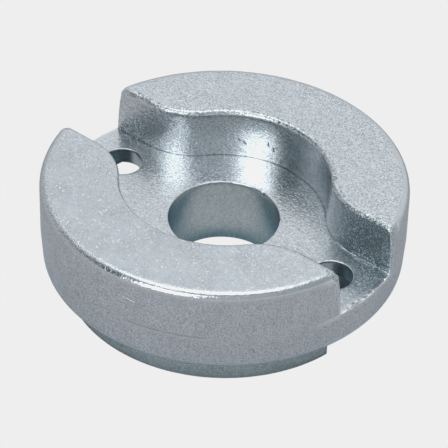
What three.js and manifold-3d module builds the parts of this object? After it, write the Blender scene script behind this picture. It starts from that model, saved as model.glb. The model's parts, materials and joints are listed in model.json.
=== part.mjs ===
// Two-jaw spindle collar: one zinc-plated die casting.
// A round body carries two jaws on top. A straight channel with a round pocket in its
// middle runs between them. A bore goes through the middle and a pin hole through each
// arm of the channel. A narrower foot stands under the body, cut across by a slot that
// leaves a hub round the bore.
// Millimetres. The bore's axis is Z and the foot stands on Z = 0. The channel runs along X.

import * as THREE from 'three';
import { mergeVertices } from 'three/addons/utils/BufferGeometryUtils.js';
import Module from 'manifold-3d';

// Heights, upwards from the face that the foot stands on.
const FOOT_HEIGHT = 4.3;
const BODY_HEIGHT = 4.8;
const JAW_HEIGHT = 6.65;

// The turned outline. The outside is widest at the height of the channel floor, where the
// two halves of the mould meet, and draws in a little above and below it.
const OUTER_RADIUS = 23.25;
const TOP_RADIUS = 23.2;
const LOWER_RADIUS = 23.05;
const FOOT_RADIUS = 20.3;
const BORE_RADIUS = 7.05;
const TOP_EDGE_ROUND = 1;
const BODY_EDGE_ROUND = 0.6;

// The channel, measured on its floor. Its walls lean outwards towards the top.
const CHANNEL_HALF_WIDTH = 4.92;
const POCKET_RADIUS = 12.93;
const CHANNEL_CORNER_RADIUS = 9.2;
const WALL_DRAFT = THREE.MathUtils.degToRad(3);
const JAW_END_ROUND = 0.4;

// The two holes for a face spanner.
const PIN_HOLE_RADIUS = 2.67;
const PIN_HOLE_OFFSET = 17.3;

// The underside.
const SLOT_NEAR_Y = -3.65;
const SLOT_FAR_Y = 5.75;
const HUB_RADIUS = 10.3;
const RECESS_RADIUS = 21.8;
const WEB_THICKNESS = 2.2;

// Facets.
const TURN_STEPS = 96;
const PIN_HOLE_STEPS = 32;
const ROUND_STEPS = 4;
const POCKET_STEPS = 18;
const CORNER_STEPS = 8;
const END_STEPS = 3;

// How far a cutting solid runs past the faces that it cuts through.
const OVERRUN = 1;

const FLOOR_Z = FOOT_HEIGHT + BODY_HEIGHT;
const TOP_Z = FLOOR_Z + JAW_HEIGHT;

const wasm = await Module();
wasm.setup();

// A closed three.js geometry as a solid that can be joined and cut.
function solid(geometry) {
  const bare = geometry.index ? geometry.toNonIndexed() : geometry.clone();
  bare.deleteAttribute('normal');
  bare.deleteAttribute('uv');
  const merged = mergeVertices(bare, 1e-5);
  return new wasm.Manifold(new wasm.Mesh({
    numProp: 3,
    vertProperties: new Float32Array(merged.attributes.position.array),
    triVerts: new Uint32Array(merged.index.array),
  }));
}

// A joined and cut solid as a geometry with flat facets.
function geometryOf(manifold) {
  const mesh = manifold.getMesh();
  const geometry = new THREE.BufferGeometry();
  geometry.setAttribute('position', new THREE.BufferAttribute(mesh.vertProperties, 3));
  geometry.setIndex(new THREE.BufferAttribute(mesh.triVerts, 1));
  const flat = geometry.toNonIndexed();
  flat.computeVertexNormals();
  return flat;
}

// Points on an arc, both ends included. Angles in radians, counter-clockwise when they grow.
function arc(centreX, centreY, radius, from, to, steps) {
  const points = [];
  for (let i = 0; i <= steps; i++) {
    const angle = from + ((to - from) * i) / steps;
    points.push(new THREE.Vector2(
      centreX + radius * Math.cos(angle),
      centreY + radius * Math.sin(angle),
    ));
  }
  return points;
}

// A closed profile in radius and height, turned about Z.
function turned(profile) {
  const closed = [...profile, profile[0].clone()];
  return solid(new THREE.LatheGeometry(closed, TURN_STEPS).rotateX(Math.PI / 2));
}

// An upright cylinder about a line through (x, y), between two heights.
function uprightCylinder(radius, x, y, low, high, steps) {
  const geometry = new THREE.CylinderGeometry(radius, radius, high - low, steps);
  geometry.rotateX(Math.PI / 2);
  geometry.translate(x, y, (low + high) / 2);
  return solid(geometry);
}

// A box between two corners.
function block(low, high) {
  const size = new THREE.Vector3().subVectors(high, low);
  const middle = new THREE.Vector3().addVectors(low, high).multiplyScalar(0.5);
  const geometry = new THREE.BoxGeometry(size.x, size.y, size.z);
  geometry.translate(middle.x, middle.y, middle.z);
  return solid(geometry);
}

// A solid between two outlines with the same number of points, one above the other.
function lofted(lowOutline, lowZ, highOutline, highZ) {
  const count = lowOutline.length;
  const positions = [];
  for (const point of lowOutline) {
    positions.push(point.x, point.y, lowZ);
  }
  for (const point of highOutline) {
    positions.push(point.x, point.y, highZ);
  }
  const indices = [];
  for (let i = 0; i < count; i++) {
    const next = (i + 1) % count;
    indices.push(i, next, count + next, i, count + next, count + i);
  }
  for (const [a, b, c] of THREE.ShapeUtils.triangulateShape(lowOutline, [])) {
    indices.push(a, c, b);
  }
  for (const [a, b, c] of THREE.ShapeUtils.triangulateShape(highOutline, [])) {
    indices.push(count + a, count + b, count + c);
  }
  const geometry = new THREE.BufferGeometry();
  geometry.setAttribute('position', new THREE.Float32BufferAttribute(positions, 3));
  geometry.setIndex(indices);
  return solid(geometry);
}

// Body and foot, turned in one profile with the bore through them.
function turnedBlank() {
  const profile = [
    new THREE.Vector2(BORE_RADIUS, 0),
    new THREE.Vector2(FOOT_RADIUS, 0),
    new THREE.Vector2(FOOT_RADIUS, FOOT_HEIGHT),
    ...arc(
      LOWER_RADIUS - BODY_EDGE_ROUND, FOOT_HEIGHT + BODY_EDGE_ROUND, BODY_EDGE_ROUND,
      -Math.PI / 2, 0, ROUND_STEPS,
    ),
    new THREE.Vector2(OUTER_RADIUS, FLOOR_Z),
    ...arc(
      TOP_RADIUS - TOP_EDGE_ROUND, TOP_Z - TOP_EDGE_ROUND, TOP_EDGE_ROUND,
      0, Math.PI / 2, ROUND_STEPS,
    ),
    new THREE.Vector2(BORE_RADIUS, TOP_Z),
  ];
  return turned(profile);
}

// A quarter of the channel's outline, from the end of the +X arm to the middle of the pocket's
// wall on +Y. grow moves the whole wall outwards.
function channelQuarter(grow) {
  const halfWidth = CHANNEL_HALF_WIDTH + grow;
  const pocket = POCKET_RADIUS + grow;
  const corner = CHANNEL_CORNER_RADIUS - grow;

  // The corner's arc touches the arm's wall and the pocket's wall.
  const cornerY = halfWidth + corner;
  const cornerX = Math.sqrt((pocket + corner) ** 2 - cornerY ** 2);
  const touch = Math.atan2(cornerY, cornerX);

  // The jaw's end is rounded where the arm's wall meets the outside.
  const endY = halfWidth + JAW_END_ROUND;
  const endX = Math.sqrt((OUTER_RADIUS - JAW_END_ROUND) ** 2 - endY ** 2);
  const endAngle = Math.atan2(endY, endX);

  return [
    new THREE.Vector2(OUTER_RADIUS + OVERRUN, OUTER_RADIUS * Math.sin(endAngle)),
    ...arc(endX, endY, JAW_END_ROUND, endAngle, -Math.PI / 2, END_STEPS),
    ...arc(cornerX, cornerY, corner, -Math.PI / 2, touch - Math.PI, CORNER_STEPS),
    ...arc(0, 0, pocket, touch, Math.PI / 2, POCKET_STEPS).slice(1),
  ];
}

// The whole outline: one quarter and its three mirror images.
function channelOutline(grow) {
  const quarter = channelQuarter(grow);
  const left = quarter.slice(0, -1).reverse().map((p) => new THREE.Vector2(-p.x, p.y));
  const upper = [...quarter, ...left];
  const lower = upper.map((p) => new THREE.Vector2(-p.x, -p.y));
  return [...upper, ...lower];
}

// The channel between the jaws, wider at the top than on its floor.
function channelCut() {
  const height = JAW_HEIGHT + OVERRUN;
  const lean = height * Math.tan(WALL_DRAFT);
  return lofted(channelOutline(0), FLOOR_Z, channelOutline(lean), FLOOR_Z + height);
}

// The slot across the foot, and the deeper recess over it that thins the web at the pin holes.
// Both go round the hub.
function undersideCut() {
  const reach = OUTER_RADIUS + OVERRUN;
  const webZ = FLOOR_Z - WEB_THICKNESS;
  const slot = block(
    new THREE.Vector3(-reach, SLOT_NEAR_Y, -OVERRUN),
    new THREE.Vector3(reach, SLOT_FAR_Y, FOOT_HEIGHT),
  );
  const deepSlot = block(
    new THREE.Vector3(-reach, SLOT_NEAR_Y, -OVERRUN),
    new THREE.Vector3(reach, SLOT_FAR_Y, webZ),
  );
  const recess = deepSlot.intersect(
    uprightCylinder(RECESS_RADIUS, 0, 0, -OVERRUN, webZ + OVERRUN, TURN_STEPS),
  );
  const hub = uprightCylinder(
    HUB_RADIUS, 0, 0, -2 * OVERRUN, FLOOR_Z, TURN_STEPS,
  );
  return slot.add(recess).subtract(hub);
}

function pinHole(side) {
  return uprightCylinder(
    PIN_HOLE_RADIUS, side * PIN_HOLE_OFFSET, 0, -OVERRUN, FLOOR_Z + OVERRUN, PIN_HOLE_STEPS,
  );
}

function collarGeometry() {
  let collar = turnedBlank().subtract(channelCut()).subtract(undersideCut());
  for (const side of [-1, 1]) {
    collar = collar.subtract(pinHole(side));
  }
  return geometryOf(collar);
}

function collarBody() {
  const zinc = new THREE.MeshStandardMaterial({
    name: 'zinc_plate',
    color: 0xb4bcc4,
    roughness: 0.45,
    metalness: 1,
  });
  const mesh = new THREE.Mesh(collarGeometry(), zinc);
  mesh.name = 'collar_body';
  return mesh;
}

const collar = new THREE.Group();
collar.add(collarBody());

export default collar;
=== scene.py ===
"""Looks of a two-jaw spindle collar: one zinc-plated die casting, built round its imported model.

The casting is modelled here again as one closed, finely divided mesh with its rounded edges, its
mould parting line, its worn rims and the slight waves of a cast face.
Lengths are millimetres while the mesh is made, and metres once it is a Blender object.
"""

import json
import math

import bmesh
import bpy
import numpy as np
from mathutils import Matrix, Vector, noise
from mathutils.geometry import delaunay_2d_cdt


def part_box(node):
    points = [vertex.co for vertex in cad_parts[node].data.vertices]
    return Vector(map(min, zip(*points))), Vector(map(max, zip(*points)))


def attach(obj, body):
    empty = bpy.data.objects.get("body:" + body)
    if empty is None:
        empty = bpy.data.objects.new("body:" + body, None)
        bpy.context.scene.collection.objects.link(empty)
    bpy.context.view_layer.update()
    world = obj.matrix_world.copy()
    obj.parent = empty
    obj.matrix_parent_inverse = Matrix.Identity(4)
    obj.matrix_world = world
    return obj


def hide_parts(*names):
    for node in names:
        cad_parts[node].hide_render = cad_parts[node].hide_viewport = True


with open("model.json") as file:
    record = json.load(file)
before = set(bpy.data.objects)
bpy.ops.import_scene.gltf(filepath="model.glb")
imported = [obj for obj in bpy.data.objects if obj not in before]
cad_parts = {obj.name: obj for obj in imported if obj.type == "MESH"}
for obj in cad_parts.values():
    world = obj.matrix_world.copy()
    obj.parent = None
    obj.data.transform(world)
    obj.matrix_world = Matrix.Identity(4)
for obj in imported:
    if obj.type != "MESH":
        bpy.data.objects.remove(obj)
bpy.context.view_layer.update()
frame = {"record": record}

METRES = 0.001
TURN = 2 * math.pi
QUARTER = math.pi / 2


def mount_height(name):
    """Height of one of the record's mounts, in millimetres."""
    for mount in frame["record"]["mounts"]:
        if mount["name"] == name:
            return mount["pos_m"][2] / METRES
    raise ValueError(name)


# Heights and outer size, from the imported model.
node_low, node_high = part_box("collar_body")
SHOULDER_Z = mount_height("body_shoulder")
FLOOR_Z = mount_height("channel_floor")
TOP_Z = mount_height("jaw_top_far")
BOX_CLEARANCE = 0.01
OUTER_RADIUS = (node_high[0] - node_low[0]) / 2 / METRES - BOX_CLEARANCE

# The turned outline.
TOP_DRAW_IN = 0.05
LOWER_DRAW_IN = 0.2
FOOT_RADIUS = 20.3
BORE_RADIUS = 7.05
TOP_EDGE_ROUND = 1.0
BODY_EDGE_ROUND = 0.6
FOOT_EDGE_ROUND = 0.12

# The channel between the jaws, measured on its floor.
CHANNEL_HALF_WIDTH = 4.92
POCKET_RADIUS = 12.93
CHANNEL_CORNER_RADIUS = 9.2
WALL_DRAFT = math.radians(3)
JAW_END_ROUND = 0.25
JAW_TIP_ROUND = 0.85
CHANNEL_EDGE_ROUND = 0.62
ARM_EDGE_ROUND = 0.14

# Holes.
PIN_HOLE_RADIUS = 2.67
PIN_HOLE_OFFSET = 17.3
BORE_RIM_ROUND = 0.16
PIN_RIM_ROUND = 0.1
BORE_FOOT_ROUND = 0.06
HOLE_DRAW_IN = 0.15

# The underside.
SLOT_NEAR_Y = -3.65
SLOT_FAR_Y = 5.75
HUB_RADIUS = 10.3
RECESS_RADIUS = 21.8
WEB_Z = FLOOR_Z - 2.2

# Mesh fineness.
STEP = 0.32
COARSE_STEP = 0.55
EDGE_ROWS = 7
SMALL_EDGE_ROWS = 4
ROOT_ROW = 0.13

# Face regions, one material each.
REGIONS = ("top", "outside", "channel_wall", "channel_floor", "bore", "underside")


class Skin:
    """Collects faces region by region."""

    def __init__(self):
        self.points = []
        self.faces = []
        self.regions = []

    def add_points(self, points):
        """Adds points and returns the number of the first one."""
        start = len(self.points)
        self.points.extend(points)
        return start

    def strip(self, rows, region, closed):
        """Quads between rows that have the same number of points."""
        for low, high in zip(rows[:-1], rows[1:]):
            a = self.add_points(low)
            b = self.add_points(high)
            count = len(low)
            for i in range(count if closed else count - 1):
                j = (i + 1) % count
                self.faces.append((a + i, a + j, b + j, b + i))
                self.regions.append(region)

    def cap(self, loops, z, step, region, facing_up):
        """A flat face bounded by closed loops, filled with points about a step apart."""
        plane = [Vector(p[:2]) for loop in loops for p in loop]
        edges = []
        start = 0
        for loop in loops:
            count = len(loop)
            edges.extend((start + i, start + (i + 1) % count) for i in range(count))
            start += count
        fill = hex_fill(loops, step)
        plane.extend(Vector(p) for p in fill)
        verts, _, faces, _, _, _ = delaunay_2d_cdt(plane, edges, [], 0, 1e-7)
        corners = np.array([[v.x, v.y] for v in verts])
        faces = np.array(faces)
        centres = corners[faces].mean(axis=1)
        kept = faces[inside(loops, centres)]
        a = self.add_points([(x, y, z) for x, y in corners])
        for face in kept:
            i, j, k = (int(n) for n in face)
            turn = np.cross(corners[j] - corners[i], corners[k] - corners[i])
            if (turn > 0) != facing_up:
                j, k = k, j
            self.faces.append((a + i, a + j, a + k))
            self.regions.append(region)


def inside(loops, points):
    """True for each point that lies inside an odd number of loops."""
    odd = np.zeros(len(points), bool)
    px, py = points[:, 0], points[:, 1]
    for loop in loops:
        ring = np.array([p[:2] for p in loop])
        for (ax, ay), (bx, by) in zip(ring, np.roll(ring, -1, axis=0)):
            if ay == by:
                continue
            crosses = (ay > py) != (by > py)
            odd ^= crosses & (px < (bx - ax) * (py - ay) / (by - ay) + ax)
    return odd


def hex_fill(loops, step):
    """Points of a triangular grid inside the loops, clear of their edges."""
    ring = np.array([p[:2] for loop in loops for p in loop])
    low = ring.min(axis=0)
    high = ring.max(axis=0)
    rise = step * math.sqrt(3) / 2
    rows = []
    for n, y in enumerate(np.arange(low[1] + rise / 2, high[1], rise)):
        x = np.arange(low[0] + (n % 2) * step / 2, high[0], step)
        rows.append(np.column_stack([x, np.full(len(x), y)]))
    grid = np.concatenate(rows)
    grid = grid[inside(loops, grid)]
    clear = np.ones(len(grid), bool)
    for p in ring:
        near = np.abs(grid - p).max(axis=1) < step
        gap = np.hypot(*(grid[near] - p).T)
        clear[np.flatnonzero(near)[gap < 0.6 * step]] = False
    return grid[clear]


def arc(centre, radius, start, end, step):
    """Points on an arc without its last one, about a step apart."""
    count = max(2, round(abs(end - start) * radius / step))
    return arc_of(centre, radius, start, end, count)


def arc_of(centre, radius, start, end, count):
    """A given number of points on an arc, without its last one."""
    angles = np.linspace(start, end, count + 1)[:-1]
    return [
        (centre[0] + radius * math.cos(a), centre[1] + radius * math.sin(a)) for a in angles
    ]


def line_of(start, end, count):
    """Points on a straight line without its last one."""
    return [
        (start[0] + (end[0] - start[0]) * i / count, start[1] + (end[1] - start[1]) * i / count)
        for i in range(count)
    ]


def at_height(points, z):
    return [(x, y, z) for x, y in points]


def jaw_corner(outer, grow, end_round=JAW_END_ROUND):
    """Centre and angle of the rounded corner where the arm's wall meets the outside."""
    end_y = CHANNEL_HALF_WIDTH + grow + end_round
    end_x = math.sqrt((outer - end_round) ** 2 - end_y**2)
    return end_x, end_y, math.atan2(end_y, end_x)


FLOOR_CORNER_ANGLE = jaw_corner(OUTER_RADIUS, 0)[2]
OUTER_COUNT = round((QUARTER - FLOOR_CORNER_ANGLE) * OUTER_RADIUS / STEP)
ARM_COUNT = 2 * round(FLOOR_CORNER_ANGLE * OUTER_RADIUS / STEP)
END_COUNT = 5
WALL_COUNT = 26
CORNER_COUNT = 26
POCKET_COUNT = 30


def half_jaw(outer, grow, end_round=JAW_END_ROUND):
    """Half of a jaw's outline, from the middle of its outside round the +X end to the middle of
    its channel side, with how far each point has turned from outside (0) to channel (1)."""
    half_width = CHANNEL_HALF_WIDTH + grow
    pocket = POCKET_RADIUS + grow
    corner = CHANNEL_CORNER_RADIUS - grow
    corner_y = half_width + corner
    corner_x = math.sqrt((pocket + corner) ** 2 - corner_y**2)
    touch = math.atan2(corner_y, corner_x)
    end_x, end_y, end_angle = jaw_corner(outer, grow, end_round)
    parts = (
        (arc_of((0, 0), outer, QUARTER, end_angle, OUTER_COUNT), 0, 0),
        (arc_of((end_x, end_y), end_round, end_angle, -QUARTER, END_COUNT), 0, 1),
        (line_of((end_x, half_width), (corner_x, half_width), WALL_COUNT), 1, 1),
        (arc_of((corner_x, corner_y), corner, -QUARTER, touch - math.pi, CORNER_COUNT), 1, 1),
        (arc_of((0, 0), pocket, touch, QUARTER, POCKET_COUNT), 1, 1),
    )
    points = []
    turned = []
    for part, start, end in parts:
        points.extend(part)
        turned.extend(np.linspace(start, end, len(part) + 1)[:-1])
    points.append((0, pocket))
    turned.append(1)
    return points, turned


HALF_COUNT = len(half_jaw(OUTER_RADIUS, 0)[0]) - 1


def jaw_row(outer, grow, outer_z, channel_z, end_round=JAW_END_ROUND):
    """The +Y jaw's closed outline, counter-clockwise from the middle of its channel side, at the
    heights given for its outside and its channel side."""
    points, turned = half_jaw(outer, grow, end_round)
    half = [
        (x, y, outer_z + (channel_z - outer_z) * t) for (x, y), t in zip(points, turned)
    ]
    mirrored = [(-x, y, z) for x, y, z in half[1:-1]]
    return [*reversed(half), *mirrored]


def outside_of(row):
    """A jaw row's outside, from its +X end to its -X end."""
    return row[HALF_COUNT - OUTER_COUNT:HALF_COUNT + OUTER_COUNT + 1]


def channel_side_of(row):
    """A jaw row's channel side, from its +X end to its -X end."""
    around = [*row[HALF_COUNT + OUTER_COUNT:], *row[:HALF_COUNT - OUTER_COUNT + 1]]
    return around[::-1]


def half_turned(row):
    """The same points turned by half a turn about the bore."""
    return [(-p[0], -p[1], *p[2:]) for p in row]


def smooth_step(low, high, x):
    t = np.clip((np.asarray(x, float) - low) / (high - low), 0, 1)
    return t * t * (3 - 2 * t)


# How far from the jaws an arm's edge reaches its full round, and how far its lowest row drops.
ARM_FADE = 1.1
ARM_BASE_DROP = 0.55


def arm_row(radius_drop, z_drop, z_base):
    """The +X arm's outer edge without its two ends, from -Y to +Y. The drops are shares of the
    arm's edge round, which fades out at the jaws."""
    angles = np.linspace(-FLOOR_CORNER_ANGLE, FLOOR_CORNER_ANGLE, ARM_COUNT + 1)[1:-1]
    from_jaw = (FLOOR_CORNER_ANGLE - np.abs(angles)) * OUTER_RADIUS
    size = ARM_EDGE_ROUND * smooth_step(0, ARM_FADE, from_jaw)
    radii = OUTER_RADIUS - size * radius_drop
    return [
        (r * math.cos(a), r * math.sin(a), z_base - s * z_drop)
        for a, r, s in zip(angles, radii, size)
    ]


def full_ring(jaw_part, arm_part):
    """A whole turn from one jaw's outside and one arm's edge."""
    return [*jaw_part, *half_turned(arm_part), *half_turned(jaw_part), *arm_part]


def ring_at(radius, z):
    """A whole turn on the same angles as the jaws and the arms."""
    scale = radius / OUTER_RADIUS
    jaw = outside_of(jaw_row(OUTER_RADIUS, 0, z, z))
    arm = [(x, y, z) for x, y, _ in arm_row(0, 0, z)]
    return [(x * scale, y * scale, h) for x, y, h in full_ring(jaw, arm)]


def inset(loop, distances):
    """A counter-clockwise loop moved inwards by a distance for each point."""
    ring = np.array([p[:2] for p in loop])
    ahead = np.roll(ring, -1, axis=0) - ring
    ahead /= np.linalg.norm(ahead, axis=1)[:, None]
    behind = np.roll(ahead, 1, axis=0)
    normals = np.column_stack([-(ahead[:, 1] + behind[:, 1]), ahead[:, 0] + behind[:, 0]])
    normals /= np.maximum(np.linalg.norm(normals, axis=1), 1e-9)[:, None]
    square = np.column_stack([-ahead[:, 1], ahead[:, 0]])
    lean = np.clip((normals * square).sum(axis=1), 0.5, 1)
    moved = ring + normals * (np.asarray(distances) / lean)[:, None]
    return [(x, y, *p[2:]) for (x, y), p in zip(moved, loop)]


def edge_profile(rounding, rows):
    """How far a rounded edge has drawn in and how far it has risen, row by row."""
    turns = np.linspace(0, QUARTER, rows + 1)
    return [(rounding * (1 - math.cos(a)), rounding * math.sin(a)) for a in turns]


# Rows above and below the floor: how far off the first ones are, and how many more there are.
GROOVE_ROWS = (0, 0.13, 0.28)
JAW_ROWS = 18
BODY_ROWS = 14


def jaw_rows():
    """Rows of the +Y jaw from the floor up to its flat top."""
    rise = math.tan(WALL_DRAFT)
    height = TOP_Z - FLOOR_Z
    outer_top = height - TOP_EDGE_ROUND
    channel_top = height - CHANNEL_EDGE_ROUND
    low = GROOVE_ROWS[-1]
    outer_heights = [*GROOVE_ROWS, *np.linspace(low, outer_top, JAW_ROWS + 1)[1:]]
    channel_heights = [*GROOVE_ROWS, *np.linspace(low, channel_top, JAW_ROWS + 1)[1:]]
    rows = []
    for outer_h, channel_h in zip(outer_heights, channel_heights):
        outer = OUTER_RADIUS - TOP_DRAW_IN * outer_h / height
        end_round = JAW_END_ROUND + (JAW_TIP_ROUND - JAW_END_ROUND) * (outer_h / height) ** 3
        rows.append(jaw_row(
            outer, rise * channel_h, FLOOR_Z + outer_h, FLOOR_Z + channel_h, end_round,
        ))
    outer = OUTER_RADIUS - TOP_DRAW_IN
    grow = rise * channel_top
    edges = zip(
        edge_profile(TOP_EDGE_ROUND, EDGE_ROWS), edge_profile(CHANNEL_EDGE_ROUND, EDGE_ROWS),
    )
    for (outer_in, outer_up), (channel_in, channel_up) in list(edges)[1:]:
        rows.append(jaw_row(
            outer - outer_in, grow + channel_in,
            FLOOR_Z + outer_top + outer_up, FLOOR_Z + channel_top + channel_up,
            JAW_TIP_ROUND,
        ))
    return rows


def add_jaws(skin):
    """Both jaws: outside, channel side and flat top."""
    rows = jaw_rows()
    for place in (list, half_turned):
        placed = [place(row) for row in rows]
        skin.strip([outside_of(row) for row in placed], "outside", closed=False)
        skin.strip([channel_side_of(row) for row in placed], "channel_wall", closed=False)
        skin.cap([placed[-1]], TOP_Z, STEP, "top", facing_up=True)


def add_body_wall(skin):
    """The outside from the shoulder up to the floor's height, with the arms' rounded edges."""
    low_radius = OUTER_RADIUS - LOWER_DRAW_IN
    rows = []
    for drawn_in, risen in reversed(edge_profile(BODY_EDGE_ROUND, SMALL_EDGE_ROWS)):
        rows.append(ring_at(low_radius - drawn_in, SHOULDER_Z + BODY_EDGE_ROUND - risen))
    start = SHOULDER_Z + BODY_EDGE_ROUND
    end = FLOOR_Z - 2 * GROOVE_ROWS[-1]
    for share in np.linspace(0, 1, BODY_ROWS + 1)[1:]:
        radius = low_radius + (OUTER_RADIUS - low_radius) * share
        rows.append(ring_at(radius, start + (end - start) * share))
    groove_z = FLOOR_Z - GROOVE_ROWS[1]
    jaw = outside_of(jaw_row(OUTER_RADIUS, 0, groove_z, groove_z))
    arm_base = arm_row(0, ARM_BASE_DROP, groove_z)
    rows.append(full_ring(jaw, arm_base))
    skin.strip(rows, "outside", closed=True)

    # The jaws' outside goes on upwards from here, and the arms turn over their edges.
    jaw_floor = outside_of(jaw_row(OUTER_RADIUS, 0, FLOOR_Z, FLOOR_Z))
    for place in (list, half_turned):
        skin.strip([place(jaw), place(jaw_floor)], "outside", closed=False)
        end_low, end_high = half_turned(jaw)[-1], jaw[0]
        corner_low, corner_high = half_turned(jaw_floor)[-1], jaw_floor[0]
        arm_rows = [[end_low, *arm_base, end_high]]
        for drawn_in, risen in edge_profile(1, SMALL_EDGE_ROWS):
            edge = arm_row(drawn_in, 1 - risen, FLOOR_Z)
            arm_rows.append([corner_low, *edge, corner_high])
        skin.strip([place(row) for row in arm_rows], "outside", closed=False)


def floor_loops():
    """The floor's outline, and the same outline a little inside it along the jaws' feet."""
    side = channel_side_of(jaw_row(OUTER_RADIUS, 0, FLOOR_Z, FLOOR_Z))
    arm = arm_row(1, 0, FLOOR_Z)
    edge = [*arm, *side, *half_turned(arm), *half_turned(side)]
    steps = np.hypot(*np.diff([p[:2] for p in side], axis=0).T)
    along = np.concatenate([[0], np.cumsum(steps)])
    from_end = np.minimum(along, along[-1] - along)
    gap = ROOT_ROW * smooth_step(2 * JAW_END_ROUND, 4 * JAW_END_ROUND, from_end)
    flat = np.zeros(len(arm))
    inner = inset(edge, np.concatenate([flat, gap, flat, gap]))
    return edge, inner


def hole_rows(centre, radius, rim_round, low_z, foot_round, rows, step):
    """Rows of a round hole from its rounded upper rim down to its rounded lower one."""
    upper = [(radius + i, FLOOR_Z - rim_round + u) for i, u in
             edge_profile(rim_round, SMALL_EDGE_ROWS)][::-1]
    lower = [(radius + i, low_z + foot_round - u) for i, u in
             edge_profile(foot_round, SMALL_EDGE_ROWS)]
    middle = [(radius, z) for z in np.linspace(upper[-1][1], lower[0][1], rows + 1)[1:-1]]
    drawn_in = HOLE_DRAW_IN / FLOOR_Z
    count = round(TURN * radius / step)
    return [
        at_height(arc_of(centre, r - drawn_in * (FLOOR_Z - z), 0, TURN, count), z)
        for r, z in [*upper, *middle, *lower]
    ]


# Rows down the bore and the pin holes, and how far apart their points are.
BORE_ROWS = 30
BORE_STEP = 0.22
PIN_ROWS = 8
PIN_STEP = 0.26


def add_floor_and_holes(skin):
    """The channel's floor with its holes. Returns each hole's lowest row."""
    edge, inner = floor_loops()
    skin.strip([edge, inner], "channel_floor", closed=True)
    bore = hole_rows((0, 0), BORE_RADIUS, BORE_RIM_ROUND, 0, BORE_FOOT_ROUND, BORE_ROWS, BORE_STEP)
    skin.strip(bore, "bore", closed=True)
    pins = []
    for side in (-1, 1):
        pin = hole_rows(
            (side * PIN_HOLE_OFFSET, 0), PIN_HOLE_RADIUS, PIN_RIM_ROUND, WEB_Z,
            BORE_FOOT_ROUND, PIN_ROWS, PIN_STEP,
        )
        skin.strip(pin, "bore", closed=True)
        pins.append(pin)
    skin.cap([inner, bore[0], *(pin[0] for pin in pins)], FLOOR_Z, STEP, "channel_floor", True)
    return bore[-1], [pin[-1] for pin in pins]


# Points along the recess's ends, and rows of the foot's wall and of the recess's.
LIP_COUNT = 3
FOOT_ROWS = 7
RECESS_ROWS = 5


def on_circle(radius, y):
    """The +X point of a circle round the axis at the given Y."""
    return math.sqrt(radius**2 - y**2), y


def arc_over_slot(radius):
    """A circle round the axis where it crosses the slot on +X, without its last point."""
    start = math.asin(SLOT_NEAR_Y / radius)
    end = math.asin(SLOT_FAR_Y / radius)
    return arc((0, 0), radius, start, end, COARSE_STEP)


def slot_side():
    """The foot's outline along the +X half of the slot, from the near land round the hub to
    the far land."""
    near_foot = on_circle(FOOT_RADIUS, SLOT_NEAR_Y)
    near_hub = on_circle(HUB_RADIUS, SLOT_NEAR_Y)
    far_hub = on_circle(HUB_RADIUS, SLOT_FAR_Y)
    far_foot = on_circle(FOOT_RADIUS, SLOT_FAR_Y)
    return [
        *line_of(near_foot, near_hub, round((near_foot[0] - near_hub[0]) / COARSE_STEP)),
        *arc_over_slot(HUB_RADIUS),
        *line_of(far_hub, far_foot, round((far_foot[0] - far_hub[0]) / COARSE_STEP)),
        far_foot,
    ]


def recess_lip():
    """The recess's outline outside the foot, from the near land to the far land."""
    near_foot = on_circle(FOOT_RADIUS, SLOT_NEAR_Y)
    near_rim = on_circle(RECESS_RADIUS, SLOT_NEAR_Y)
    far_rim = on_circle(RECESS_RADIUS, SLOT_FAR_Y)
    far_foot = on_circle(FOOT_RADIUS, SLOT_FAR_Y)
    return [
        *line_of(near_foot, near_rim, LIP_COUNT)[1:],
        *arc_over_slot(RECESS_RADIUS),
        *line_of(far_rim, far_foot, LIP_COUNT),
    ]


def foot_arc(y, far):
    """The foot's round outline over the far or the near land, without its ends."""
    angle = math.asin(y / FOOT_RADIUS)
    start, end = (angle, math.pi - angle) if far else (math.pi - angle, TURN + angle)
    return arc((0, 0), FOOT_RADIUS, start, end, COARSE_STEP)[1:]


def mirrored_x(points):
    """The same points on the other side of the YZ plane, in the opposite order."""
    return [(-p[0], *p[1:]) for p in points][::-1]


def add_underside(skin, bore_row, pin_rows):
    """The foot, the shoulder round it, and the slot with the recess over it."""
    side = slot_side()
    lip = recess_lip()
    far = foot_arc(SLOT_FAR_Y, True)
    near = foot_arc(SLOT_NEAR_Y, False)
    foot = [*side, *far, *mirrored_x(side), *near]
    rows = []
    for drawn_in, risen in reversed(edge_profile(FOOT_EDGE_ROUND, SMALL_EDGE_ROWS)):
        loop = inset(foot, np.full(len(foot), drawn_in))
        rows.append(at_height(loop, FOOT_EDGE_ROUND - risen))
    for z in np.linspace(FOOT_EDGE_ROUND, SHOULDER_Z, FOOT_ROWS + 1)[1:]:
        rows.append(at_height(foot, z))
    skin.strip(rows, "underside", closed=True)
    skin.cap([rows[0], bore_row], 0, COARSE_STEP, "underside", False)

    shoulder_ring = ring_at(OUTER_RADIUS - LOWER_DRAW_IN - BODY_EDGE_ROUND, SHOULDER_Z)
    over_slot = [side[0], *lip, side[-1]]
    shoulder_inside = [*over_slot, *far, *mirrored_x(over_slot), *near]
    skin.cap([shoulder_ring, shoulder_inside], SHOULDER_Z, COARSE_STEP, "underside", False)

    recess = [*lip, *reversed(side)]
    pairs = ((recess, pin_rows[1]), (mirrored_x(recess), pin_rows[0]))
    for loop, pin_row in pairs:
        heights = np.linspace(SHOULDER_Z, WEB_Z, RECESS_ROWS + 1)
        skin.strip([at_height(loop, z) for z in heights], "underside", closed=True)
        skin.cap([loop, pin_row], WEB_Z, COARSE_STEP, "underside", False)


# Points closer than this are one.
MERGE = 2e-4


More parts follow.
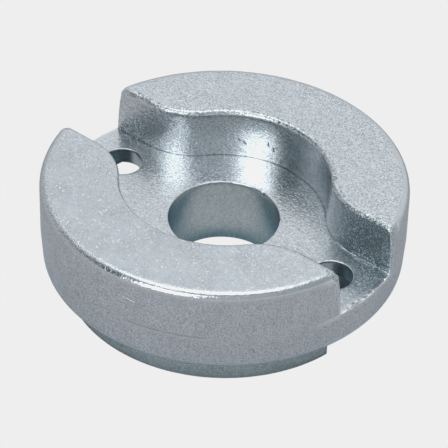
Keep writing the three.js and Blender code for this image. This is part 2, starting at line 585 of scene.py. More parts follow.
def collar_mesh():
    """The whole casting as one closed mesh, in millimetres, without its small marks."""
    skin = Skin()
    add_jaws(skin)
    add_body_wall(skin)
    bore_row, pin_rows = add_floor_and_holes(skin)
    add_underside(skin, bore_row, pin_rows)
    mesh = bpy.data.meshes.new("collar_casting")
    mesh.from_pydata(skin.points, [], skin.faces)
    indices = [REGIONS.index(region) for region in skin.regions]
    mesh.polygons.foreach_set("material_index", indices)
    bm = bmesh.new()
    bm.from_mesh(mesh)
    bmesh.ops.remove_doubles(bm, verts=bm.verts, dist=MERGE)
    bmesh.ops.dissolve_degenerate(bm, edges=bm.edges, dist=MERGE / 2)
    bmesh.ops.recalc_face_normals(bm, faces=bm.faces)
    bm.to_mesh(mesh)
    bm.free()
    return mesh


# Small marks of the casting, in millimetres and degrees.
PARTING_DEPTH = 0.045
PARTING_FAINT = 0.12
PARTING_STRETCHES = ((-82, -53), (-25, -11), (66, 97), (148, 171), (-176, -158))
PARTING_FADE = 3
ROOT_DEPTH = 0.045
ROOT_FADE = 0.3
ROOT_TURN = (12.5, 14.5)  # the crease at the jaws' feet turns into a ridge between these X
BURR_HEIGHT = 0.6
BURR_LENGTH = 1.0
BURR_WIDTH = 0.7
BURR_FADE = 1.2
LEFT_BURR = 0.1
BURR_SHARE = 0.25
FINE_BURR = 0.7
FINE_BURR_LENGTH = 0.4

# How uneven the seams are, and the length of their waves.
UNEVEN = 0.4
ROOT_WAVE = 1.5
PARTING_WAVE = 1.1

# Points closer than this to a plane or a radius lie on it.
TOUCH = 1e-3

# Nicks in the bore's rim: direction, size and depth.
NICKS = ((83.8, 0.42, 0.16), (38.1, 0.36, 0.14), (121, 0.3, 0.08), (-24, 0.4, 0.12))

# Waves of the cast faces: how long they are and how deep.
WAVES = {
    "top": (2.6, 0.012),
    "outside": (1.7, 0.02),
    "channel_wall": (1.3, 0.014),
    "channel_floor": (1.6, 0.02),
    "bore": (3.0, 0.004),
    "underside": (2.4, 0.03),
}
EDGE_WAVE = (0.7, 0.035)

# The waves are two sizes of noise: the share and the relative length of the finer one.
FINE_WAVE = 0.35
FINE_WAVE_LENGTH = 1 / 2.3

# Different places in the noise, so that two marks don't share a pattern.
BURR_SHIFT = 5.0
WAVE_SHIFT = 7.1
EDGE_SHIFT = 3.3


def on_seam(vert, first, second):
    """True where faces of both regions meet."""
    found = {REGIONS[face.material_index] for face in vert.link_faces}
    return first in found and second in found


def rough(point, length, shift=0.0):
    """Smooth noise from -1 to 1, with waves of about the given length."""
    return noise.noise(Vector(point) / length + Vector((shift, shift, shift)))


def parting_share(angle):
    """How open the parting line is in a direction, from faint to 1."""
    share = PARTING_FAINT
    for start, end in PARTING_STRETCHES:
        inside_by = min(angle - start, end - angle)
        share = max(share, float(smooth_step(0, PARTING_FADE, inside_by)))
    return share


def arm_lift(place, from_edge):
    """How far the burr on an arm's edge stands up at a place near it."""
    from_jaw = CHANNEL_HALF_WIDTH - abs(place.y)
    size = BURR_HEIGHT if place.x > 0 else BURR_HEIGHT * LEFT_BURR
    fade = float(smooth_step(0, BURR_FADE, from_jaw) * smooth_step(BURR_WIDTH, 0, from_edge))
    edge_place = Vector((place.x, place.y, 0)).normalized() * OUTER_RADIUS
    coarse = rough(edge_place, BURR_LENGTH)
    fine = rough(edge_place, FINE_BURR_LENGTH * BURR_LENGTH, BURR_SHIFT)
    return size * fade * max(0, BURR_SHARE + coarse + FINE_BURR * fine)


def mark_seams(bm):
    """The mould's parting line, the crease at the jaws' feet and the burr on the arms' edges."""
    for vert in bm.verts:
        radius = math.hypot(vert.co.x, vert.co.y)
        if FLOOR_Z - ARM_EDGE_ROUND / 2 < vert.co.z < FLOOR_Z + TOUCH:
            vert.co.z += arm_lift(vert.co, OUTER_RADIUS - radius)
        if abs(vert.co.z - FLOOR_Z) > TOUCH:
            continue
        draw_in = 0
        if on_seam(vert, "channel_wall", "channel_floor"):
            fade = float(smooth_step(0, ROOT_FADE, OUTER_RADIUS - radius))
            way = 1 - 2 * float(smooth_step(*ROOT_TURN, vert.co.x))
            vert.co.z -= ROOT_DEPTH * way * fade * (1 + UNEVEN * rough(vert.co, ROOT_WAVE))
        elif radius > OUTER_RADIUS - TOUCH:
            angle = math.degrees(math.atan2(vert.co.y, vert.co.x))
            uneven = 1 + UNEVEN * rough(vert.co, PARTING_WAVE)
            draw_in = PARTING_DEPTH * parting_share(angle) * uneven
        vert.co.x *= 1 - draw_in / radius
        vert.co.y *= 1 - draw_in / radius


def mark_nicks(bm):
    """Small nicks in the bore's rim."""
    for angle, size, depth in NICKS:
        way = Vector((math.cos(math.radians(angle)), math.sin(math.radians(angle)), 0))
        place = way * BORE_RADIUS + Vector((0, 0, FLOOR_Z))
        for vert in bm.verts:
            near = 1 - (vert.co - place).length / size
            if near > 0:
                vert.co += way * (depth * near) - Vector((0, 0, depth * near / 2))


def mark_waves(bm):
    """Every face moved inwards by its region's shallow waves, and by sharper ones on edges."""
    bm.normal_update()
    worn = edge_values(bm)[0]
    moves = []
    for vert, wear in zip(bm.verts, worn):
        names = {REGIONS[face.material_index] for face in vert.link_faces}
        waves = [WAVES[name] for name in REGIONS if name in names]
        length, depth = min(waves, key=lambda wave: wave[1])
        coarse = rough(vert.co, length)
        fine = rough(vert.co, length * FINE_WAVE_LENGTH, WAVE_SHIFT)
        move = depth * (1 + (1 - FINE_WAVE) * coarse + FINE_WAVE * fine) / 2
        if "underside" not in names:
            edge_length, edge_depth = EDGE_WAVE
            move += wear * edge_depth * (1 + rough(vert.co, edge_length, EDGE_SHIFT)) / 2
        moves.append(vert.normal * -move)
    for vert, move in zip(bm.verts, moves):
        if abs(vert.co.z) > TOUCH:
            vert.co += move


# Turns that count as fully worn and as fully creased, and the regions that meet in a crease.
WEAR_ANGLE = math.radians(13)
CREASE_ANGLE = math.radians(40)
CREASES = ({"channel_wall", "channel_floor"}, {"outside"}, {"underside"})


def edge_values(bm):
    """How worn each point is, from the outward turn of its edges, and how deep in a crease."""
    worn = np.zeros(len(bm.verts), np.float32)
    creased = np.zeros(len(bm.verts), np.float32)
    for index, vert in enumerate(bm.verts):
        turns = [edge.calc_face_angle_signed(0) for edge in vert.link_edges]
        worn[index] = min(1, max(0, max(turns)) / WEAR_ANGLE)
        names = {REGIONS[face.material_index] for face in vert.link_faces}
        if names in CREASES:
            creased[index] = min(1, max(0, -min(turns)) / CREASE_ANGLE)
    return worn, creased


# Edges that turn more than this are shaded as sharp.
SHARP_ANGLE = math.radians(38)


def make_casting():
    """The casting's Blender object, with its marks and its edge values."""
    mesh = collar_mesh()
    bm = bmesh.new()
    bm.from_mesh(mesh)
    mark_seams(bm)
    mark_nicks(bm)
    mark_waves(bm)
    worn, creased = edge_values(bm)
    for edge in bm.edges:
        edge.smooth = edge.calc_face_angle(0) < SHARP_ANGLE
    for face in bm.faces:
        face.smooth = True
    bmesh.ops.scale(bm, vec=(METRES, METRES, METRES), verts=bm.verts)
    bm.to_mesh(mesh)
    bm.free()
    for name, values in (("worn", worn), ("creased", creased)):
        mesh.attributes.new(name, "FLOAT", "POINT").data.foreach_set("value", values)
    casting = bpy.data.objects.new("collar_casting", mesh)
    bpy.context.scene.collection.objects.link(casting)
    return casting


# Colours of the plate, linear, among them painted shade, a painted reflection and painted
# highlights, then a worn edge's roughness and the tint at a glancing angle.
ZINC_LIGHT = (0.83, 0.875, 0.91, 1)
ZINC_DARK = (0.44, 0.477, 0.505, 1)
ZINC_PAINTED_SHADE = (0.16, 0.2, 0.22, 1)
ZINC_PAINTED_REFLECTION = (0.26, 0.36, 0.4, 1)
ZINC_WEAR_AND_SHEEN = (0.76, 0.8, 0.82, 1)
ZINC_SPARKLE = (0.93, 0.95, 0.96, 1)
ZINC_BRIGHT_MARK = (0.97, 0.98, 0.99, 1)
ZINC_DARK_MARK = (0.26, 0.3, 0.32, 1)
ZINC_BURR_HIGHLIGHT = (0.96, 0.98, 0.99, 1)
EDGE_ROUGHNESS = 0.13
EDGE_TINT = (0.87, 0.89, 0.9, 1)


class Nodes:
    """A node tree with short ways to add and link nodes."""

    def __init__(self, tree):
        self.tree = tree
        tree.nodes.clear()

    def feed(self, socket, value):
        """Links a socket to another one, or sets its constant."""
        if isinstance(value, bpy.types.NodeSocket):
            self.tree.links.new(value, socket)
        else:
            socket.default_value = value

    def add(self, kind, inputs=None, **settings):
        """A shader node with its settings, and with its inputs linked or set."""
        node = self.tree.nodes.new("ShaderNode" + kind)
        for name, value in settings.items():
            setattr(node, name, value)
        for name, value in (inputs or {}).items():
            self.feed(node.inputs[name], value)
        return node

    def noise(self, place, size, detail=2.0, roughness=0.55):
        """Noise with grains of about the given size in millimetres."""
        return self.add(
            "TexNoise",
            {"Vector": place, "Scale": 1 / size, "Detail": detail, "Roughness": roughness},
        ).outputs["Fac"]

    def ranged(self, source, low, high, to_low, to_high, interpolation="LINEAR"):
        """A value moved from one range to another, and held at its ends."""
        return self.add(
            "MapRange",
            {"Value": source, "From Min": low, "From Max": high, "To Min": to_low,
             "To Max": to_high},
            interpolation_type=interpolation,
        ).outputs["Result"]

    def maths(self, operation, first, second=0):
        """A sum, product or other result of two values, each a number or a socket."""
        return self.add("Math", {0: first, 1: second}, operation=operation).outputs[0]

    def vector(self, operation, first, second=(0, 0, 0), output="Vector"):
        """A result of two vectors. Distances, lengths and dot products are its Value."""
        node = self.add("VectorMath", {0: first, 1: second}, operation=operation)
        return node.outputs[output]

    def scaled(self, place, scale):
        """A place with each of its axes scaled."""
        return self.add("Mapping", {"Vector": place, "Scale": scale}).outputs["Vector"]

    def mix(self, share, first, second):
        """A colour between two, each a colour or a socket."""
        node = self.add("Mix", {"Factor": share}, data_type="RGBA")
        colours = [s for s in node.inputs if s.type == "RGBA"]
        self.feed(colours[0], first)
        self.feed(colours[1], second)
        return next(s for s in node.outputs if s.type == "RGBA")

    def mix_value(self, share, first, second):
        """A value between two, each a number or a socket."""
        gap = self.maths("SUBTRACT", second, first)
        return self.maths("ADD", first, self.maths("MULTIPLY", gap, share))

    def bump(self, height, depth, normal=None):
        """A bump whose height runs over a depth in millimetres."""
        inputs = {"Height": height, "Strength": 1, "Distance": depth * METRES}
        if normal is not None:
            inputs["Normal"] = normal
        return self.add("Bump", inputs).outputs["Normal"]

    def near_line(self, place, start, end, width):
        """1 on a short straight line and 0 further from it than its width."""
        way = Vector(end) - Vector(start)
        away = self.vector("SUBTRACT", place, Vector(start))
        along = self.vector("DOT_PRODUCT", away, way, "Value")
        share = self.ranged(along, 0, way.length_squared, 0, 1)
        foot = self.add("VectorMath", {0: way, "Scale": share}, operation="SCALE")
        gap = self.vector("DISTANCE", away, foot.outputs["Vector"], "Value")
        return self.ranged(gap, MARK_CORE * width, width, 1, 0)


def new_material(name):
    """A material without nodes, and its node tree."""
    material = bpy.data.materials.new(name)
    material.use_nodes = True
    return material, Nodes(material.node_tree)


# Small marks in the plate: start, end and width in millimetres. Raised ones are bright, partly as
# a painted highlight on their facets, and sunk ones dark.
OUTSIDE_RAISED = (
    ((3.4, -22.97, 12.66), (5.0, -22.67, 12.42), 0.085),
    ((3.0, -23.03, 12.1), (3.5, -22.96, 12.5), 0.07),
    ((12.05, -19.75, 15.3), (12.35, -19.55, 15.3), 0.26),
    ((-18.2, 14.4, 11.9), (-17.5, 15.25, 12.3), 0.08),
)
OUTSIDE_SUNK = (
    ((17.4, -15.35, 7.4), (17.5, -15.2, 6.7), 0.1),
)
WALL_RAISED = (
    ((-10.85, 7.45, 11.2), (-10.85, 7.45, 10.9), 0.15),
)
WALL_SUNK = (
    ((-6.95, 11.15, 11.8), (-6.75, 11.2, 11.4), 0.13),
    ((-6.25, 11.5, 11.3), (-6.0, 11.65, 11.05), 0.15),
    ((-3.15, 12.7, 12.0), (-3.1, 12.65, 11.5), 0.12),
    ((-2.4, 12.85, 11.4), (-2.3, 12.8, 10.9), 0.14),
)
# How deep they are, and the share of their width that is full.
MARK_DEPTH = 0.05
MARK_CORE = 0.4

# Where the plate changes, in millimetres: across X, across Y, along both arms, along the +X arm,
# at the end of the painted shade in its crease, and out at the burr's painted highlight.
LEFT_TO_RIGHT = (-5, 5)
NEAR_TO_FAR = (-14, 8)
BOTH_ARMS = (11, 16)
RIGHT_ARM = (12, 16)
CREASE_SHADE_END = (12, 15)
BURR_REACH = (21.6, 22.3)

# Noise values between which a painted glint and a larger painted glint appear, and their sizes in
# grains.
GLINT_RANGE = (0.56, 0.68)
GLINT_SIZE = 1.1
LARGE_GLINT_RANGE = (0.65, 0.71)
LARGE_GLINT_SIZE = 2.4
LARGE_GLINT_STRENGTH = 0.95

# How noise of each kind changes tone, roughness, the painted shade in creases, and the wear and
# painted sheen on edges.
PATCH_SIZE = 4
PATCH_RANGE = (0.3, 0.7)
PATCH_TONE = 0.07
PATCH_ROUGHNESS = 0.05
CREASE_SHADE_PATCHES = (0.3, 0.55)
CREASE_SHADE_SHARE = (0.2, 0.55)
RIPPLE_RANGE = (0.25, 0.75)
RIPPLE_TONE = 0.15
WEAR_AND_SHEEN_GRAINS = (0.4, 0.6)
WEAR_AND_SHEEN_SHARE = (0.2, 0.9)

# Painted dark breaks in the highlight on the far jaw's channel edge.
BREAK_SIZE = 0.42
BREAK_RANGE = (0.52, 0.59)
BREAK_WEAR = (0.1, 0.35)
BREAK_RADIUS = (21, 21.8)
BREAK_SIDE = (3, 5)


def edge_factor(tree, worn, x, gains):
    """1 on a flat face. On a worn edge it is the gain of the -X or the +X side."""
    gain = tree.ranged(x, *LEFT_TO_RIGHT, gains[0] - 1, gains[1] - 1)
    return tree.maths("ADD", 1, tree.maths("MULTIPLY", worn, gain))


def painted_break_share(tree, place, y, worn, strength):
    """Where dark breaks in the highlight are painted on the far jaw's edge along the channel."""
    on_edge = tree.ranged(worn, *BREAK_WEAR, 0, 1)
    flat = tree.vector("MULTIPLY", place, (1, 1, 0))
    radius = tree.vector("LENGTH", flat, output="Value")
    in_reach = tree.ranged(radius, *BREAK_RADIUS, 1, 0)
    on_far_jaw = tree.ranged(y, *BREAK_SIDE, 0, strength)
    at_channel = tree.maths("MULTIPLY", in_reach, on_far_jaw)
    broken = tree.ranged(tree.noise(place, BREAK_SIZE, 2, 0.7), *BREAK_RANGE, 0, 1)
    return tree.maths("MULTIPLY", on_edge, tree.maths("MULTIPLY", broken, at_channel))


def with_marks(tree, place, colour, raised, sunk):
    """The colour with the single marks on it, and their height, which is None without any."""
    relief = None
    for marks, mark_colour, way in ((raised, ZINC_BRIGHT_MARK, 1), (sunk, ZINC_DARK_MARK, -1)):
        for start, end, width in marks:
            mask = tree.near_line(place, start, end, width)
            colour = tree.mix(mask, colour, mark_colour)
            height = tree.maths("MULTIPLY", mask, way)
            relief = height if relief is None else tree.maths("ADD", relief, height)
    return colour, relief


def zinc_plate(name, roughness, tone, grain_depth, contrast, sparkle_depth, ripple_depth,
               grain=0.17, sparkle=1, ripple=0.45, stretch=(1, 1, 1), near_share=1, arm_grain=1,
               arm_painted_reflection=0, arm_dull=0, edge_grain=(1, 1), edge_ripple=(1, 1), raised=(), sunk=(),
               burr=0, painted_breaks=0):
    """Zinc plate over a cast face. Grain, ripple and the depths are millimetres.

    tone: how light the plate is, from 0 to 1
    contrast, sparkle: how much the grains differ in colour, and how bright the painted glints are
    stretch: a number below 1 draws the ripples out along that axis
    near_share, arm_grain: how strong the grain is on the near jaw's side and on the arms
    arm_painted_reflection, arm_dull: how much painted dark reflection the +X arm gets, and how
    much rougher it is
    edge_grain, edge_ripple: how strong they are on worn edges, on the -X and on the +X side
    raised, sunk: single marks, each a start, an end and a width
    burr, painted_breaks: how white the painted highlight on the arms' outer edges is, and how dark
    the painted breaks in the channel edge's highlight are
    """
    material, tree = new_material(name)
    place = tree.add("TexCoord").outputs["Object"]
    even = tree.scaled(place, (1 / METRES,) * 3)
    drawn = tree.scaled(place, tuple(s / METRES for s in stretch))
    axes = tree.add("SeparateXYZ", {"Vector": even}).outputs
    from_middle = tree.maths("ABSOLUTE", axes["X"])
    worn = tree.add("Attribute", attribute_name="worn").outputs["Fac"]
    creased = tree.add("Attribute", attribute_name="creased").outputs["Fac"]

    # Noise: fine grains, glints between them, larger glints, ripples and wide patches. Grains are
    # drawn out along the channel, but not upwards.
    grain_place = drawn if stretch[0] < 1 else even
    grains = tree.noise(grain_place, grain, 2, 0.6)
    glints = tree.noise(grain_place, GLINT_SIZE * grain, 1, 0.5)
    large_glints = tree.noise(even, LARGE_GLINT_SIZE * grain, 1, 0.6)
    ripples = tree.noise(drawn, ripple, 3, 0.6)
    patches = tree.noise(even, PATCH_SIZE, 2, 0.5)

    # Heights of the grains, the glint spots and the ripples.
    grain_share = tree.ranged(axes["Y"], *NEAR_TO_FAR, near_share, 1)
    for factor in (edge_factor(tree, worn, axes["X"], edge_grain),
                   tree.ranged(from_middle, *BOTH_ARMS, 1, arm_grain)):
        grain_share = tree.maths("MULTIPLY", grain_share, factor)
    relief = tree.maths("MULTIPLY", tree.maths("SUBTRACT", grains, 0.5), grain_share)
    glint = tree.maths("MULTIPLY", tree.ranged(glints, *GLINT_RANGE, 0, 1), grain_share)
    large_glint = tree.ranged(large_glints, *LARGE_GLINT_RANGE, 0, LARGE_GLINT_STRENGTH)
    glint_spot = tree.maths("MAXIMUM", glint, large_glint)
    ripple_share = edge_factor(tree, worn, axes["X"], edge_ripple)
    ripple_relief = tree.maths("MULTIPLY", tree.maths("SUBTRACT", ripples, 0.5), ripple_share)

    # Colour: grains, ripples and patches, a painted dark reflection on the arm, and painted glints
    # where a glint spot lies.
    speckle = tree.maths("MULTIPLY", relief, contrast)
    streak = tree.ranged(ripples, *RIPPLE_RANGE, tone - RIPPLE_TONE, tone + RIPPLE_TONE)
    cloud = tree.ranged(patches, *PATCH_RANGE, -PATCH_TONE, PATCH_TONE)
    tint = tree.maths("ADD", tree.maths("ADD", speckle, streak), cloud)
    tint = tree.add("Clamp", {"Value": tint}).outputs["Result"]
    colour = tree.mix(tint, ZINC_DARK, ZINC_LIGHT)
    colour = tree.mix(tree.ranged(axes["X"], *RIGHT_ARM, 0, arm_painted_reflection), colour, ZINC_PAINTED_REFLECTION)
    # Painted glints: the glint spots lighten the plate's colour.
    colour = tree.mix(tree.maths("MULTIPLY", glint_spot, sparkle), colour, ZINC_SPARKLE)

    # Worn edges are lighter, partly from wear and partly as a painted highlight, and the burr gets
    # a nearly white painted highlight. Painted shade darkens the creases, and painted dark breaks
    # cut the far edge's highlight.
    wear_and_sheen = tree.maths("MULTIPLY", worn, tree.ranged(grains, *WEAR_AND_SHEEN_GRAINS, *WEAR_AND_SHEEN_SHARE))
    colour = tree.mix(wear_and_sheen, colour, ZINC_WEAR_AND_SHEEN)
    # Painted highlight on the burr along the arms' outer edges.
    burr_highlight_share = tree.maths("MULTIPLY", worn, tree.ranged(from_middle, *BURR_REACH, 0, burr))
    colour = tree.mix(burr_highlight_share, colour, ZINC_BURR_HIGHLIGHT)
    # Painted dark breaks in the far edge's highlight.
    if painted_breaks:
        colour = tree.mix(painted_break_share(tree, even, axes["Y"], worn, painted_breaks), colour, ZINC_PAINTED_SHADE)
    # Painted shade in the creases at the jaws' feet.
    crease_shade_share = tree.ranged(patches, *CREASE_SHADE_PATCHES, *CREASE_SHADE_SHARE)
    crease_shade_share = tree.maths("MULTIPLY", creased, crease_shade_share)
    crease_shade_share = tree.maths("MULTIPLY", crease_shade_share, tree.ranged(axes["X"], *CREASE_SHADE_END, 1, 0))
    colour = tree.mix(crease_shade_share, colour, ZINC_PAINTED_SHADE)
    colour, mark_relief = with_marks(tree, even, colour, raised, sunk)

    # Roughness: in patches, more on the arm and finer on a worn edge.
    dull = tree.ranged(
        patches, *PATCH_RANGE, roughness - PATCH_ROUGHNESS, roughness + PATCH_ROUGHNESS,
    )
    dull = tree.maths("ADD", dull, tree.ranged(axes["X"], *RIGHT_ARM, 0, arm_dull))
    dull = tree.mix_value(worn, dull, EDGE_ROUGHNESS)

    normal = tree.bump(ripple_relief, ripple_depth)
    normal = tree.bump(glint_spot, sparkle_depth, normal)
    normal = tree.bump(relief, grain_depth, normal)
    if mark_relief is not None:
        normal = tree.bump(mark_relief, MARK_DEPTH, normal)
    shader = tree.add(
        "BsdfPrincipled",
        {"Base Color": colour, "Roughness": dull, "Normal": normal, "Metallic": 1,
         "Specular Tint": EDGE_TINT},
    )
    tree.add("OutputMaterial", {"Surface": shader.outputs["BSDF"]})
    return material


def casting_materials():
    """The finish of each region. Their tones differ partly as painted light and shade: one plate
    is made lighter or darker on a face as the light falls there.
    """
    return {
        "top": zinc_plate(
            "zinc_top", roughness=0.3, tone=0.54, grain_depth=0.08, contrast=4.6,
            sparkle_depth=0.012, ripple=0.8, ripple_depth=0.012, near_share=0.25,
            edge_ripple=(3, 6), painted_breaks=0.8,
        ),
        "outside": zinc_plate(
            "zinc_outside", roughness=0.36, tone=0.54, grain_depth=0.06, contrast=4,
            sparkle=0.5, sparkle_depth=0.006, ripple_depth=0.04, stretch=(1, 1, 0.22),
            edge_grain=(1, 0.1), raised=OUTSIDE_RAISED, sunk=OUTSIDE_SUNK, burr=0.9,
        ),
        "channel_wall": zinc_plate(
            "zinc_channel_wall", roughness=0.145, tone=0.68, grain_depth=0.017, contrast=3.4,
            sparkle_depth=0.006, ripple_depth=0.014, stretch=(1, 1, 0.4), arm_grain=2.6,
            arm_painted_reflection=0.6, arm_dull=0.07, edge_ripple=(4, 8), painted_breaks=0.5, raised=WALL_RAISED,
            sunk=WALL_SUNK,
        ),
        "channel_floor": zinc_plate(
            "zinc_channel_floor", roughness=0.19, tone=0.7, grain=0.16, grain_depth=0.021,
            contrast=4.2, sparkle_depth=0.008, ripple_depth=0.02, stretch=(0.5, 1, 1),
            near_share=0.5, arm_grain=0.6, arm_painted_reflection=0.35, edge_grain=(0.5, 0.8), burr=0.9,
        ),
        "bore": zinc_plate(
            "zinc_bore", roughness=0.22, tone=0.5, grain=0.3, grain_depth=0.006, contrast=1.3,
            sparkle=0.1, sparkle_depth=0.001, ripple=0.6, ripple_depth=0.006,
            stretch=(1, 1, 0.5),
        ),
        "underside": zinc_plate(
            "zinc_underside", roughness=0.4, tone=0.42, grain=0.18, grain_depth=0.04,
            contrast=3, sparkle=0.4, sparkle_depth=0.005, ripple=0.9, ripple_depth=0.03,
        ),
    }


# The camera, round the middle of the channel floor. Angles in degrees, lengths in millimetres.
CAMERA_AZIMUTH = 38.97
CAMERA_ELEVATION = 39.304
CAMERA_ROLL = 1.518
CAMERA_DISTANCE = 290.34
CAMERA_FIELD = 11.181
AIM_RIGHT = 0.016
AIM_UP = -0.955


def towards(azimuth, elevation):
    """Direction from the object. Azimuth 0 is -Y, 90 is +X; degrees."""
    a, e = math.radians(azimuth), math.radians(elevation)
    return Vector((math.sin(a) * math.cos(e), -math.cos(a) * math.cos(e), math.sin(e)))


def make_camera():
    """The camera, aimed a little off centre and slightly rolled."""
    data = bpy.data.cameras.new("camera")
    data.angle = math.radians(CAMERA_FIELD)
    data.clip_start = 0.01
    data.clip_end = 20
    camera = bpy.data.objects.new("camera", data)
    bpy.context.scene.collection.objects.link(camera)
    bpy.context.scene.camera = camera
    back = towards(CAMERA_AZIMUTH, CAMERA_ELEVATION)
    turn = (-back).to_track_quat("-Z", "Y").to_matrix()
    roll = math.radians(CAMERA_ROLL)
    right = turn @ Vector((math.cos(roll), math.sin(roll), 0))
    up = turn @ Vector((-math.sin(roll), math.cos(roll), 0))
    aim = Vector((0, 0, FLOOR_Z)) + right * AIM_RIGHT + up * AIM_UP
    camera.location = (aim + back * CAMERA_DISTANCE) * METRES
    camera.rotation_mode = "QUATERNION"
    camera.rotation_quaternion = Matrix((right, up, back)).transposed().to_quaternion()


# The studio. Its lengths are metres.
BACKDROP_GREY = 0.855
GROUND_REACH = 1.5
GROUND_DROP = 0.00002

# The ground's colour far from the object, a teal next to it that stands for bounce light, and
# painted shade under it.
GROUND_COLOUR = (0.41, 0.4, 0.417, 1)
GROUND_NEAR_BOUNCE = (0.42, 0.5, 0.52, 1)
GROUND_SHADE = (0.12, 0.17, 0.19, 1)

# Light that the ground gives back, painted as a glow: far away, under the foot, under the hub and
# below the bore.
GROUND_GLOW = (0.14, 0.14, 0.145, 1)
FOOT_GLOW = (0.02, 0.022, 0.023, 1)
HUB_GLOW = (0.08, 0.135, 0.155, 1)
BORE_GLOW = (0.335, 0.34, 0.33, 1)

# Where those blend, as distances from the axis in millimetres. The painted pool of light below the
# bore is moved towards the camera's side.
PATCH_BLEND = (6.2, 8.4)
PATCH_SHIFT = 2.3
HUB_BLEND = (11, 14)
FOOT_BLEND = (18, 26)
SHADE_BLEND = (18, 22)
NEAR_BLEND = (22.5, 28)

# The room's colours, and the height of the pale band at its horizon.
ROOM_DARK = (0.37, 0.4, 0.42, 1)
ROOM_HORIZON = (0.545, 0.57, 0.59, 1)
ROOM_BAND = (0.05, 0.5)

# The room's lighter and darker sides: azimuth from the camera, elevation, where each starts and
# is full in degrees from its middle, and its colour.
ROOM_LOBES = (
    (8, 47, 34, 10, (0.44, 0.47, 0.49, 1)),
    (-73, 35, 28, 6, (0.08, 0.11, 0.125, 1)),
    (168, 25, 58, 22, (0.69, 0.71, 0.735, 1)),
)

# Highlights stop at this linear value, a little above the backdrop.
PAPER_WHITE = 0.89


def only_seen_by(obj, camera=False, reflections=False):
    """Hides a stage object from every other kind of ray."""
    obj.visible_camera = camera
    obj.visible_diffuse = reflections
    obj.visible_glossy = reflections
    obj.visible_transmission = False
    obj.visible_shadow = False


def stage_object(name, bm, material):
    """A stage object from a bmesh, which is used up."""
    mesh = bpy.data.meshes.new(name)
    bm.to_mesh(mesh)
    bm.free()
    mesh.materials.append(material)
    obj = bpy.data.objects.new(name, mesh)
    bpy.context.scene.collection.objects.link(obj)
    return obj


def disc(name, material):
    """A round sheet that reaches far past the object."""
    bm = bmesh.new()
    bmesh.ops.create_circle(bm, cap_ends=True, segments=96, radius=GROUND_REACH)
    return stage_object(name, bm, material)


def dome(name, material):
    """A ball round the whole studio."""
    bm = bmesh.new()
    bmesh.ops.create_uvsphere(bm, u_segments=48, v_segments=24, radius=2 * GROUND_REACH)
    return stage_object(name, bm, material)


def glowing(name, grey):
    """A material that shows one grey in any light."""
    material, tree = new_material(name)
    glow = tree.add("Emission", {"Color": (grey, grey, grey, 1)})
    tree.add("OutputMaterial", {"Surface": glow.outputs["Emission"]})
    return material


def ground_paper():
    """Matt paper under the object, with painted light and shade: teal painted shade under it, and
    a painted pool of light where the back light falls through the bore."""
    material, tree = new_material("grey_ground")
    place = tree.add("TexCoord").outputs["Object"]
    patch_middle = towards(CAMERA_AZIMUTH, 0) * PATCH_SHIFT * METRES
    patch = tree.vector("DISTANCE", place, patch_middle, "Value")
    radius = tree.vector("LENGTH", place, output="Value")

    def blend(distance, ends):
        return tree.ranged(distance, ends[0] * METRES, ends[1] * METRES, 0, 1)

    glow = tree.mix(blend(patch, PATCH_BLEND), BORE_GLOW, HUB_GLOW)
    glow = tree.mix(blend(radius, HUB_BLEND), glow, FOOT_GLOW)
    glow = tree.mix(blend(radius, FOOT_BLEND), glow, GROUND_GLOW)
    colour = tree.mix(blend(radius, SHADE_BLEND), GROUND_SHADE, GROUND_NEAR_BOUNCE)
    colour = tree.mix(blend(radius, NEAR_BLEND), colour, GROUND_COLOUR)
    shader = tree.add(
        "BsdfPrincipled",
        {"Base Color": colour, "Emission Color": glow, "Roughness": 0.9, "Emission Strength": 1},
    )
    tree.add("OutputMaterial", {"Surface": shader.outputs["BSDF"]})
    return material


def make_stage():
    """A pale floor and backdrop without shadows, and the matt ground that the metal mirrors."""
    pale = glowing("pale_backdrop", BACKDROP_GREY)
    only_seen_by(disc("floor", pale), camera=True)
    only_seen_by(dome("backdrop", pale), camera=True)
    ground = disc("ground", ground_paper())
    ground.location.z = -GROUND_DROP
    only_seen_by(ground, reflections=True)


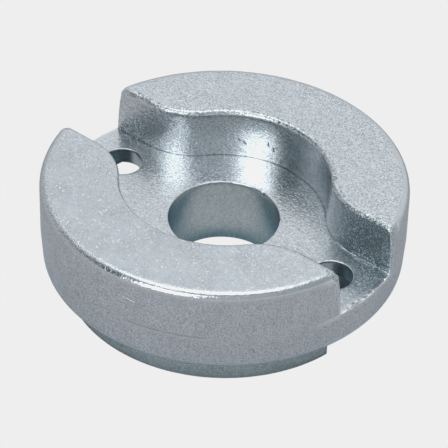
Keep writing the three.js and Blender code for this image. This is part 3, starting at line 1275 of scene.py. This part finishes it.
def softbox(name, azimuth, elevation, distance, width, height, radiance, colour):
    """A soft panel that faces the object. Azimuth is measured from the camera's side."""
    data = bpy.data.lights.new(name, "AREA")
    data.shape = "RECTANGLE"
    data.size = width
    data.size_y = height
    data.energy = radiance * math.pi * width * height
    data.color = colour
    lamp = bpy.data.objects.new(name, data)
    bpy.context.scene.collection.objects.link(lamp)
    way = towards(CAMERA_AZIMUTH + azimuth, elevation)
    lamp.location = way * distance
    lamp.rotation_mode = "QUATERNION"
    lamp.rotation_quaternion = (-way).to_track_quat("-Z", "Y")
    lamp.visible_camera = False


def make_world():
    """A dim room: a pale band at the horizon, lighter behind the object."""
    world = bpy.data.worlds.new("room")
    bpy.context.scene.world = world
    world.use_nodes = True
    tree = Nodes(world.node_tree)
    way = tree.add("TexCoord").outputs["Generated"]
    height = tree.add("SeparateXYZ", {"Vector": way}).outputs["Z"]
    horizon_share = tree.ranged(height, *ROOM_BAND, 1, 0, "SMOOTHSTEP")
    colour = tree.mix(horizon_share, ROOM_DARK, ROOM_HORIZON)
    for azimuth, elevation, start, end, lobe in ROOM_LOBES:
        middle = towards(CAMERA_AZIMUTH + azimuth, elevation)
        facing = tree.vector("DOT_PRODUCT", way, middle, "Value")
        edges = [math.cos(math.radians(angle)) for angle in (start, end)]
        colour = tree.mix(tree.ranged(facing, *edges, 0, 1, "SMOOTHSTEP"), colour, lobe)
    glow = tree.add("Background", {"Color": colour, "Strength": 1})
    tree.add("OutputWorld", {"Surface": glow.outputs["Background"]})


def make_lights():
    """The room, a bright panel at the left and a wide one overhead."""
    make_world()
    softbox(
        "key_panel", azimuth=-36, elevation=41, distance=0.8, width=0.42, height=0.52,
        radiance=1.9, colour=(1.0, 1.0, 1.0),
    )
    softbox(
        "top_panel", azimuth=-166, elevation=77, distance=0.8, width=0.52, height=0.56,
        radiance=1.08, colour=(0.96, 1.0, 1.03),
    )


def set_exposure():
    """The standard view, with a curve that only stops the highlights."""
    view = bpy.context.scene.view_settings
    view.view_transform = "Standard"
    view.use_curve_mapping = True
    curves = view.curve_mapping
    curves.extend = "HORIZONTAL"
    combined = curves.curves[3]
    last = combined.points[-1]
    last.location = (PAPER_WHITE, PAPER_WHITE)
    last.handle_type = "VECTOR"
    curves.update()


make_camera()
casting = make_casting()
finishes = casting_materials()
for region in REGIONS:
    casting.data.materials.append(finishes[region])
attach(casting, "root")
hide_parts("collar_body")
make_stage()
make_lights()
set_exposure()
